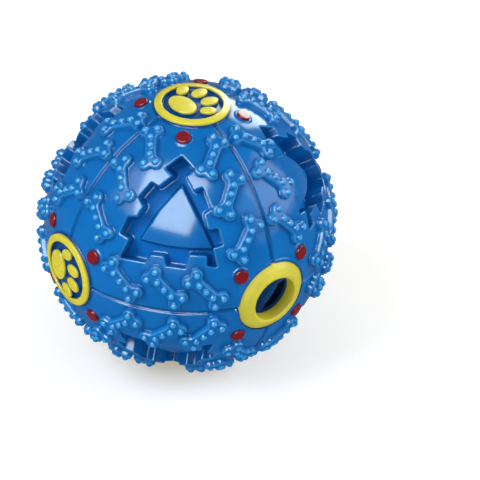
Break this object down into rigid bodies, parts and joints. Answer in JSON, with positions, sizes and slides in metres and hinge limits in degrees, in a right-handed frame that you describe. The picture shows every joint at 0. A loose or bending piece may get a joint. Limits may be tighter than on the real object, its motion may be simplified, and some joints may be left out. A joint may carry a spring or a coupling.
{
  "type": "treat dispensing ball",
  "caption": "Soft hollow pet ball with raised bones and paw badges, one round treat hole and a tube with a sliding sound unit inside.",
  "frame": {"origin": "centre of the ball", "axes": "+Z from the bottom paw badge to the top paw badge, along the sound tube; -Y out of the treat hole; -X out of the left paw badge"},
  "size_m": [0.116, 0.1162, 0.116],
  "materials": {
    "ball_vinyl": "glossy soft vinyl",
    "badge_vinyl": "satin yellow vinyl",
    "grommet_vinyl": "glossy yellow vinyl",
    "stud_vinyl": "glossy dark red vinyl",
    "tube_plastic": "milky polypropylene",
    "cap_plastic": "white polypropylene",
    "bumper_foam": "dark closed-cell foam",
    "slider_plastic": "ivory moulded plastic",
    "weight_steel": "zinc-plated steel",
    "reed_holder_plastic": "tan moulded plastic",
    "reed_brass": "rolled brass strip",
    "seal_rubber": "black silicone"
  },
  "bodies": {
    "ball": {"front_shell": "ball_vinyl", "rear_shell": "ball_vinyl", "throat_grommet": "grommet_vinyl", "top_badge_ring": "badge_vinyl", "bottom_badge_ring": "badge_vinyl", "left_badge_ring": "badge_vinyl", "right_badge_ring": "badge_vinyl", "rear_badge_ring": "badge_vinyl", "top_badge_paw": "badge_vinyl", "bottom_badge_paw": "badge_vinyl", "left_badge_paw": "badge_vinyl", "right_badge_paw": "badge_vinyl", "rear_badge_paw": "badge_vinyl", "front_studs": "stud_vinyl", "rear_studs": "stud_vinyl", "sound_tube": "tube_plastic", "top_tube_cap": "cap_plastic", "bottom_tube_cap": "cap_plastic", "top_bumper": "bumper_foam", "bottom_bumper": "bumper_foam"},
    "slider": {"slider_body": "slider_plastic", "slider_weight": "weight_steel", "weight_retainer": "slider_plastic", "reed_plate": "reed_holder_plastic", "reed_tongue": "reed_brass", "reed_clamp": "reed_holder_plastic", "reed_cover": "slider_plastic", "upper_wiper_seal": "seal_rubber", "lower_wiper_seal": "seal_rubber"}
  },
  "joints": [
    {"name": "sound_unit_slide", "type": "slide", "parent": "ball", "child": "slider", "axis": [0, 0, 1], "range_m": [0, 0.0522]}
  ]
}
